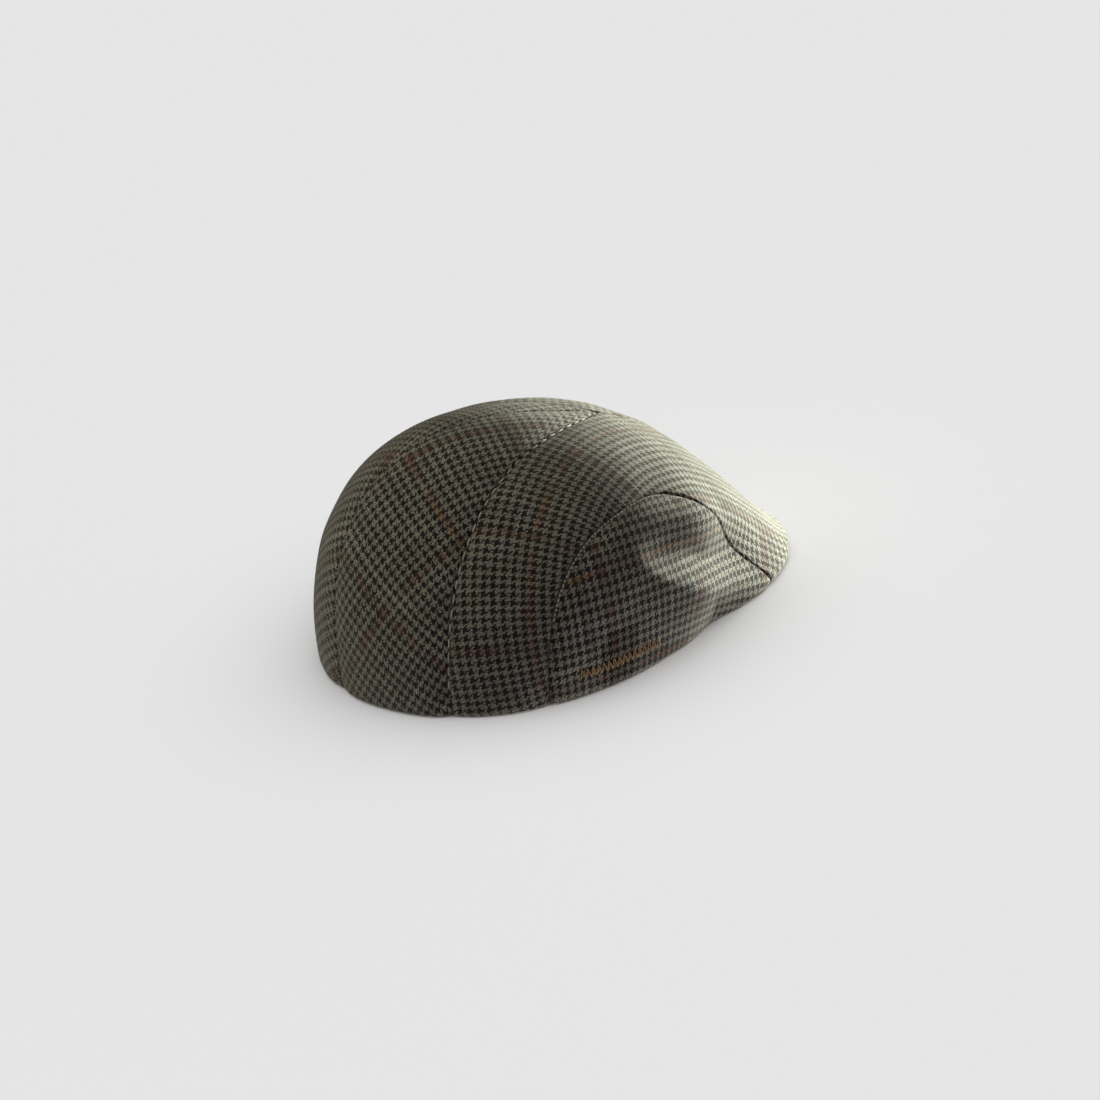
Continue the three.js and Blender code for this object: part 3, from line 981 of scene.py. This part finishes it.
def houndstooth_group():
    """Shader group that weaves the houndstooth tweed with its lines from a place on the flat cloth, and
    paints a sheen of loose fibres where the cloth is seen edge on.
    """
    name = "houndstooth_tweed"
    if name in bpy.data.node_groups:
        return bpy.data.node_groups[name]
    weave = bpy.context.scene.cap_weave
    inputs = {"Place": "Vector", "Facing": "Float", **{wool: "Color" for wool in WOOLS}}
    tree, entry, result = new_group(name, inputs, {"Colour": "Color", "Height": "Float"})
    given = entry.outputs
    place = given["Place"]
    parts = tree.nodes.new("ShaderNodeSeparateXYZ")
    tree.links.new(place, parts.inputs[0])

    def calc(operation, *values):
        return computed(tree, operation, *values)

    def rough(kind):
        """Noise about zero."""
        scale, gain, detail = WEAVE_NOISE[kind]
        return calc("MULTIPLY_ADD", noise_value(tree, place, scale, detail), gain, -gain / 2)

    def among_first(number, every, count):
        """1 where a whole number is among the first few of every so many, else 0."""
        return calc("LESS_THAN", calc("FLOORED_MODULO", number, every), count - 0.5)

    # Yarns: their numbers, wandering and fraying a little, and how far across each one a point lies
    sway = rough("sway")
    across = calc("ADD", calc("DIVIDE", parts.outputs[0], weave.yarn_across), sway)
    along = calc("ADD", calc("DIVIDE", parts.outputs[1], weave.yarn_along), sway)
    across = calc("ADD", across, rough("warp_fray"))
    along = calc("ADD", along, rough("weft_fray"))
    warp = calc("FLOOR", across)
    weft = calc("FLOOR", along)
    warp_part = calc("FRACT", across)
    weft_part = calc("FRACT", along)

    # Twill: two over, two under, with four pale and four dark yarns each way
    warp_over = among_first(calc("ADD", warp, weft), TWILL_YARNS, TWILL_OVER)
    warp_under = calc("SUBTRACT", 1.0, warp_over)
    warp_pale = among_first(warp, TOOTH_YARNS, TOOTH_PALE)
    weft_pale = among_first(weft, TOOTH_YARNS, TOOTH_PALE)
    pale = calc("MULTIPLY", warp_over, warp_pale)
    pale = calc("MULTIPLY_ADD", warp_under, weft_pale, pale)

    # Lines: one repeat in several is coloured, its pale yarns most, here and there hidden by the rest
    warp_tooth = calc("FLOOR", calc("DIVIDE", warp, TOOTH_YARNS))
    weft_tooth = calc("FLOOR", calc("DIVIDE", weft, TOOTH_YARNS))
    warp_line = calc("MULTIPLY", among_first(warp_tooth, weave.checks_across, 1), warp_over)
    weft_line = calc("MULTIPLY", among_first(weft_tooth, weave.checks_along, 1), warp_under)
    tooth = random_value(tree, calc("MULTIPLY_ADD", warp_tooth, TOOTH_SHIFT, weft_tooth))
    seen = calc("ADD", rough("line_gaps"), LINE_SHOWN)
    seen = calc("MULTIPLY_ADD", tooth, LINE_TOOTH, seen)
    seen = calc("MULTIPLY", held(tree, seen, LINE_LEAST), LINE_COVER)
    line = calc("MULTIPLY", calc("MAXIMUM", warp_line, weft_line), seen)

    # Colours: the lines drift from rust to ochre, the dark yarns to navy
    drift = held(tree, calc("ADD", rough("ochre_drift"), OCHRE_SHARE), 0.0)
    line_colour = mixed(tree, drift, given["Rust"], given["Ochre"])
    pale_colour = mixed(tree, line, given["Pale"], line_colour)
    dim = held(tree, calc("ADD", rough("navy_drift"), NAVY_SHARE), line)
    dark_colour = mixed(tree, dim, given["Dark"], given["Navy"])
    dark_colour = mixed(tree, calc("MULTIPLY", line, LINE_ON_DARK), dark_colour, line_colour)
    colour = mixed(tree, pale, dark_colour, pale_colour)

    # Wool: each yarn and each tuft of fibre is a little lighter or darker
    top_yarn = calc("MULTIPLY_ADD", calc("SUBTRACT", warp, weft), warp_over, weft)
    yarn = random_value(tree, calc("MULTIPLY_ADD", warp_over, WARP_SHIFT, top_yarn))
    tuft = noise_value(tree, place, TUFT_SCALE, TUFT_DETAIL)
    shade = calc("MULTIPLY_ADD", yarn, YARN_SHADE, YARN_DARKEST)
    shade = calc("ADD", shade, rough("blotches"))
    shade = calc("MULTIPLY_ADD", tuft, TUFT_SHADE, calc("SUBTRACT", shade, TUFT_SHADE / 2))
    shade = calc("MAXIMUM", shade, SHADE_LEAST)
    shaded = tree.nodes.new("ShaderNodeVectorMath")
    shaded.operation = "SCALE"
    tree.links.new(colour, shaded.inputs[0])
    tree.links.new(shade, shaded.inputs["Scale"])

    # Fuzz and painted sheen: where the cloth is seen edge on, the weave turns towards the pale colour of
    # loose fibres, a painted sheen
    edge_on = calc("POWER", given["Facing"], FUZZ_AND_SHEEN_POWER)
    cover = calc("MULTIPLY", edge_on, weave.fuzz_and_sheen_cover)
    tree.links.new(mixed(tree, cover, shaded.outputs[0], given["Fuzz_and_sheen"]), result.inputs["Colour"])

    # Relief of the yarn on top
    part = calc("MULTIPLY", warp_over, warp_part)
    part = calc("MULTIPLY_ADD", warp_under, weft_part, part)
    swing = calc("MULTIPLY_ADD", part, 2.0, -1.0)
    round_yarn = calc("SUBTRACT", 1.0, calc("MULTIPLY", swing, swing))
    tree.links.new(calc("MULTIPLY_ADD", tuft, TUFT_RELIEF, round_yarn), result.inputs["Height"])
    return tree


def twist_group():
    """Shader group with the twist of sewing thread, and painted shade where the twist lies low."""
    name = "thread_twist"
    if name in bpy.data.node_groups:
        return bpy.data.node_groups[name]
    inputs = {"Place": "Vector", "Thread": "Color"}
    tree, entry, result = new_group(name, inputs, {"Colour": "Color", "Height": "Float"})
    twist = noise_value(tree, entry.outputs["Place"], TWIST_SCALE, TWIST_DETAIL)
    # Painted shade: the thread darkens where the twist's relief is low
    twist_shade_colour = mixed(tree, TWIST_SHADE_SHARE, entry.outputs["Thread"], TWIST_SHADOW)
    tree.links.new(mixed(tree, twist, twist_shade_colour, entry.outputs["Thread"]), result.inputs["Colour"])
    tree.links.new(twist, result.inputs["Height"])
    return tree


def group_material(name, group, colours, relief, finish):
    """Material with its colour and relief from a shader group."""
    material = bpy.data.materials.new(name)
    material.use_nodes = True
    tree = material.node_tree
    shader = tree.nodes["Principled BSDF"]
    spot = tree.nodes.new("ShaderNodeAttribute")
    spot.attribute_name = CLOTH_PLACE
    effect = tree.nodes.new("ShaderNodeGroup")
    effect.node_tree = group
    tree.links.new(spot.outputs["Vector"], effect.inputs["Place"])
    # How edge on the cloth is seen, for the painted sheen of the fibres
    if "Facing" in effect.inputs:
        view = tree.nodes.new("ShaderNodeLayerWeight")
        tree.links.new(view.outputs["Facing"], effect.inputs["Facing"])
    for socket, colour in colours.items():
        effect.inputs[socket].default_value = (*colour, 1.0)
    bump = tree.nodes.new("ShaderNodeBump")
    for socket, value in relief.items():
        bump.inputs[socket].default_value = value
    tree.links.new(effect.outputs["Height"], bump.inputs["Height"])
    tree.links.new(effect.outputs["Colour"], shader.inputs["Base Color"])
    tree.links.new(bump.outputs["Normal"], shader.inputs["Normal"])
    for socket, value in finish.items():
        shader.inputs[socket].default_value = value
    return material


def tweed_material(name):
    """Tweed for one kind of panel."""
    weave = bpy.context.scene.cap_weave
    wools = {socket: getattr(weave, wool) for socket, wool in WOOLS.items()}
    return group_material(name, houndstooth_group(), wools, TWEED_RELIEF, TWEED_FINISH)


def thread_material(name, colour):
    """Twisted sewing thread."""
    return group_material(name, twist_group(), {"Thread": colour}, THREAD_RELIEF, THREAD_FINISH)


# Operators


class CAP_OT_panels(bpy.types.Operator):
    """Sews the back, top and side panels from flat cloth."""

    bl_idname = "cap.panels"
    bl_label = "Cloth panels"

    def execute(self, context):
        cloth = context.scene.cap_cloth
        for seed, (kind, panel) in enumerate(PANELS.items()):
            angle, reach = panel["places"]()
            smooth = cloth_point(angle, reach)
            away = seam_distance(smooth, panel["seams"]) * MM
            if panel["fold"] == "rows":
                away = np.where(reach > 1, away[:, [BEFORE_FOLD]], away)
            crease = cloth.seam_depth * np.exp(-((away / cloth.seam_width) ** 2))
            pull = cloth.pull_depth * (1 - PULL_LOSS * smooth_ramp(-smooth[..., 1], *PULL_FADE))
            drop = crease + pull * np.exp(-((away / cloth.pull_width) ** 2))
            waves = cloth.wave_depth * soft_noise(smooth * MM, cloth.wave_size, seed + WAVE_SEED)
            puckers = cloth.pucker_depth * soft_noise(smooth * MM, cloth.pucker_size, seed + PUCKER_SEED)
            puckers = puckers * np.exp(-away / cloth.pucker_size)
            raised = waves * np.clip(away / cloth.pull_width, 0, 1) + puckers - drop
            outward = crown_normal(angle, np.minimum(reach, 1))
            outer = np.maximum(smooth + outward * raised[..., None] / MM, LOWEST)
            inner = np.maximum(outer - grid_normals(outer, angle, reach) * cloth.thickness / MM, LOWEST)
            places = grain_places(outer, flatten_grid(outer), panel["warp_line"], panel["weft_point"])
            if panel["turned"]:
                places = places[..., ::-1]
            material = tweed_material(f"{kind}_tweed")
            for side in SIDES:
                name = f"{kind}_{side}"
                mesh = closed_cloth(f"{name}_cloth", outer, inner, places, side == "right")
                piece = add_piece(f"{name}_cloth", mesh, material, panel["slot"], name)
        return {"FINISHED"}


class CAP_OT_peak(bpy.types.Operator):
    """Covers the board of the peak with tweed."""

    bl_idname = "cap.peak"
    bl_label = "Peak"

    def execute(self, context):
        turn = np.linspace(-1, 1, PEAK_COLUMNS + 1)[:, None]
        part = fine_ends(PEAK_ROWS)[None, :]
        angle = PEAK_END_ANGLE * turn
        sweep = np.radians(90 * angle / TEMPLE_ANGLE)
        rim = edge_point(angle)[:, 0]
        inward = unit((APEX - rim) * (1, 1, 0))
        rim = (rim + inward * PEAK_INSET)[:, None]
        forehead = stacked(
            (TEMPLE_X - FOREHEAD_INSET) * np.sin(sweep),
            -TEMPLE_AHEAD - FOREHEAD_REACH * np.cos(sweep),
            rim[..., 2],
        )
        across = forehead * (1 - part[..., None]) + rim * part[..., None]
        arch = PEAK_ARCH * np.cos(sweep) ** 2
        edge = np.minimum(part, 1 - part) / PEAK_EDGE
        rounding = 1 - np.sqrt(np.clip(1 - (1 - np.clip(edge, 0, 1)) ** 2, 0, 1))
        upper = across.copy()
        upper[..., 2] = PEAK_TOP + arch - PEAK_ROUND * rounding
        lower = across.copy()
        lower[..., 2] = PEAK_UNDER + arch + PEAK_ROUND * rounding
        mesh = closed_cloth("peak_cloth", upper[::-1], lower[::-1], across[::-1, :, :2], False)
        add_piece("peak_cloth", mesh, tweed_material("peak_tweed"), "peak_tweed", "peak")
        return {"FINISHED"}


def thread_mesh(name, starts, ends, normals, width, mirrored):
    """Mesh of separate stitches, each a flattened spindle of thread from a start to an end."""
    rings = np.linspace(0, 1, STITCH_RINGS)
    turns = np.linspace(0, 2 * np.pi, STITCH_SIDES, endpoint=False)
    swell = np.sqrt(np.clip(1 - (2 * rings - 1) ** STITCH_BLUNTNESS, STITCH_TIP, 1)) * width / 2
    bow = width * STITCH_BOW * (1 - (2 * rings - 1) ** 2)
    points = []
    faces = []
    for start, end, normal in zip(starts, ends, normals):
        along = end - start
        side = unit(np.cross(along, normal))
        spine = start + along * rings[:, None] + normal * bow[:, None]
        first = len(points)
        for middle, radius in zip(spine, swell):
            for turn in turns:
                rise = normal * radius * STITCH_FLATNESS * np.sin(turn)
                points.append(middle + side * radius * np.cos(turn) + rise)
        for ring in range(STITCH_RINGS - 1):
            low = first + ring * STITCH_SIDES
            high = low + STITCH_SIDES
            for turn in range(STITCH_SIDES):
                after = (turn + 1) % STITCH_SIDES
                faces.append((low + turn, low + after, high + after, high + turn))
        last = first + (STITCH_RINGS - 1) * STITCH_SIDES
        faces.append(tuple(first + turn for turn in reversed(range(STITCH_SIDES))))
        faces.append(tuple(last + turn for turn in range(STITCH_SIDES)))
    points = np.array(points) + HEM_MIDDLE
    if mirrored:
        points = points * (-1, 1, 1)
        faces = [face[::-1] for face in faces]
    return placed_mesh(name, points, faces, points)


def stitches_along(angle, share, lift, pitch, length):
    """Starts, ends and normals of stitches laid along a line of places."""
    normal = crown_normal(angle, share)
    line = cloth_point(angle, share) + normal * lift
    run = np.concatenate([[0.0], np.cumsum(np.linalg.norm(np.diff(line, axis=0), axis=1))])
    first = np.arange(pitch / 2, run[-1] - length, pitch)

    def at(values, where):
        return stacked(*(np.interp(where, run, values[:, axis]) for axis in range(3)))

    return at(line, first), at(line, first + length), unit(at(normal, first + length / 2))


def zigzag_stitches():
    """Starts, ends and normals of the stitches of the zigzag row."""
    knot = np.arange(ZIGZAG_STITCHES + 1)
    angle = ZIGZAG_START + ZIGZAG_SPAN * knot / ZIGZAG_STITCHES
    level = ZIGZAG_LEVEL + ZIGZAG_SWING * np.where(knot % 2 == 0, 1, -1)
    normal = crown_normal(angle, level)
    line = cloth_point(angle, level) + normal * ZIGZAG_LIFT
    return line[:-1], line[1:], unit(normal[:-1] + normal[1:])


class CAP_OT_thread(bpy.types.Operator):
    """Sews the visible thread: the back and side seams, and a plain zigzag row above the hem."""

    bl_idname = "cap.thread"
    bl_label = "Thread"

    def execute(self, context):
        thread = context.scene.cap_thread
        cloth = context.scene.cap_cloth
        width = thread.stitch_width / MM
        lift = STITCH_LIFT - (cloth.seam_depth + cloth.pull_depth) / MM
        share = np.linspace(*BACK_STITCHED, LINE_POINTS)
        back_line = (back_seam_angle(share), share)
        back = stitches_along(*back_line, lift, thread.stitch_pitch / MM, thread.stitch_length / MM)
        side_line = side_seam(np.linspace(*SIDE_STITCHED, LINE_POINTS), -SIDE_STITCH_INSET)
        side = stitches_along(*side_line, lift + EDGE_LIFT, thread.edge_pitch / MM, thread.edge_length / MM)
        # The seam thread is partly pale thread and partly a painted highlight along the raised edges of the
        # seams
        seam_highlight_material = thread_material("seam_thread_and_highlight", thread.seam_thread_and_highlight)
        row_material = thread_material("row_thread", thread.row_thread)
        rows = (
            ("back_seam_thread", back, width, seam_highlight_material, "top_tweed", SIDES),
            ("side_seam_thread", side, width, seam_highlight_material, "top_tweed", SIDES),
            ("zigzag_row", zigzag_stitches(), width * ZIGZAG_WIDTH, row_material, "side_tweed", ("right",)),
        )
        for half in SIDES:
            for kind, stitches, thickness, material, slot, halves in rows:
                if half in halves:
                    name = f"{kind}_{half}"
                    mesh = thread_mesh(name, *stitches, thickness, half == "right")
                    add_piece(name, mesh, material, slot)
        return {"FINISHED"}


def add_floor(stage):
    """Pale floor that throws no light back on the cap."""
    mesh = bpy.data.meshes.new("floor")
    half = FLOOR_HALF
    corners = [(-half, -half, 0), (half, -half, 0), (half, half, 0), (-half, half, 0)]
    mesh.from_pydata(corners, [], [(0, 1, 2, 3)])
    floor = bpy.data.objects.new("floor", mesh)
    bpy.context.scene.collection.objects.link(floor)
    paper = bpy.data.materials.new("pale_floor")
    paper.use_nodes = True
    shader = paper.node_tree.nodes["Principled BSDF"]
    shader.inputs["Base Color"].default_value = (*stage.floor_colour, 1.0)
    shader.inputs["Roughness"].default_value = 1.0
    shader.inputs["Specular IOR Level"].default_value = 0.0
    mesh.materials.append(paper)
    floor.visible_diffuse = False
    return floor


def add_surround(stage):
    """Soft light from all round, which the camera sees as an even backdrop."""
    world = bpy.data.worlds.new("pale_surround")
    world.use_nodes = True
    tree = world.node_tree
    sky = tree.nodes["Background"]
    heading = tree.nodes.new("ShaderNodeTexCoord")
    lowness = tree.nodes.new("ShaderNodeVectorMath")
    lowness.operation = "DOT_PRODUCT"
    tree.links.new(heading.outputs["Generated"], lowness.inputs[0])
    lowness.inputs[1].default_value = BRIGHT_SIDE
    glow = computed(tree, "MULTIPLY_ADD", lowness.outputs["Value"], stage.surround_fall, stage.surround)
    glow = computed(tree, "MAXIMUM", glow, 0.0)
    ray = tree.nodes.new("ShaderNodeLightPath")
    seen = computed(tree, "SUBTRACT", stage.backdrop, glow)
    seen = computed(tree, "MULTIPLY_ADD", ray.outputs["Is Camera Ray"], seen, glow)
    tree.links.new(seen, sky.inputs["Strength"])
    tint = mixed(tree, ray.outputs["Is Camera Ray"], SURROUND_TINT, WHITE)
    tree.links.new(tint, sky.inputs["Color"])
    bpy.context.scene.world = world


def area_light(name, direction, distance, size, colour, power):
    light = bpy.data.lights.new(name, "AREA")
    light.size = size
    light.energy = power
    light.color = colour
    holder = bpy.data.objects.new(name, light)
    bpy.context.scene.collection.objects.link(holder)
    way = Vector(direction).normalized()
    holder.location = way * distance + Vector(LIGHT_AIM)
    holder.visible_camera = False
    holder.rotation_euler = way.to_track_quat("Z", "Y").to_euler()
    return holder


def add_lights(stage, floor):
    """Two lights for the cap alone, and one for the floor alone."""
    scene = bpy.context.scene
    key = area_light("key_light", power=stage.key_power, **KEY_LIGHT)
    top = area_light("top_light", power=stage.top_power, **TOP_LIGHT)
    sun = bpy.data.lights.new("floor_light", "SUN")
    sun.energy = stage.floor_sun
    sun.angle = SUN_SPREAD
    overhead = bpy.data.objects.new("floor_light", sun)
    scene.collection.objects.link(overhead)
    cap_only = bpy.data.collections.new("lit_cloth")
    floor_only = bpy.data.collections.new("lit_floor")
    floor_only.objects.link(floor)
    for piece in scene.objects:
        if piece.type == "MESH" and piece is not floor:
            cap_only.objects.link(piece)
    for light, lit in ((key, cap_only), (top, cap_only), (overhead, floor_only)):
        light.light_linking.receiver_collection = lit


def add_camera(stage):
    """Camera with the view of the photo."""
    turn = stage.azimuth
    rise = stage.elevation
    back = Vector((np.sin(turn) * np.cos(rise), -np.cos(turn) * np.cos(rise), np.sin(rise)))
    level = Vector((np.cos(turn), np.sin(turn), 0.0))
    up = back.cross(level)
    right = level * np.cos(stage.roll) - up * np.sin(stage.roll)
    above = level * np.sin(stage.roll) + up * np.cos(stage.roll)
    aim = Vector(HEM_MIDDLE * MM) + right * stage.aim_right + above * stage.aim_up
    lens = bpy.data.cameras.new("camera")
    lens.lens = stage.lens
    distance = stage.frame_width * stage.lens / lens.sensor_width
    camera = bpy.data.objects.new("camera", lens)
    bpy.context.scene.collection.objects.link(camera)
    turned = Matrix((right, above, back)).transposed().to_4x4()
    camera.matrix_world = Matrix.Translation(aim + back * distance) @ turned
    bpy.context.scene.camera = camera


class CAP_OT_stage(bpy.types.Operator):
    """Sets the pale floor, the soft studio light and the camera."""

    bl_idname = "cap.stage"
    bl_label = "Stage"

    def execute(self, context):
        stage = context.scene.cap_stage
        floor = add_floor(stage)
        add_surround(stage)
        context.scene.view_settings.view_transform = "Standard"
        add_lights(stage, floor)
        add_camera(stage)
        return {"FINISHED"}


class CAP_PT_sidebar(bpy.types.Panel):
    """Lists the steps and sizes of the flat cap."""

    bl_idname = "CAP_PT_sidebar"
    bl_label = "Flat cap"
    bl_space_type = "VIEW_3D"
    bl_region_type = "UI"
    bl_category = "Flat cap"

    def draw(self, context):
        for step in STEPS:
            self.layout.operator(step.bl_idname)
        for group in GROUPS:
            values = getattr(context.scene, group)
            box = self.layout.box()
            for name in values.bl_rna.properties.keys():
                if name not in ("rna_type", "name"):
                    box.prop(values, name)


STEPS = (CAP_OT_panels, CAP_OT_peak, CAP_OT_thread, CAP_OT_stage)
GROUPS = {
    "cap_cloth": CapClothSettings,
    "cap_weave": CapWeaveSettings,
    "cap_thread": CapThreadSettings,
    "cap_stage": CapStageSettings,
}


def register():
    for group, kind in GROUPS.items():
        bpy.utils.register_class(kind)
        setattr(bpy.types.Scene, group, bpy.props.PointerProperty(type=kind))
    for step in (*STEPS, CAP_PT_sidebar):
        bpy.utils.register_class(step)


def unregister():
    for step in (CAP_PT_sidebar, *reversed(STEPS)):
        bpy.utils.unregister_class(step)
    for group, kind in GROUPS.items():
        delattr(bpy.types.Scene, group)
        bpy.utils.unregister_class(kind)


def main():
    register()
    bpy.ops.cap.panels()
    bpy.ops.cap.peak()
    bpy.ops.cap.thread()
    bpy.ops.cap.stage()


if __name__ == "__main__":
    main()
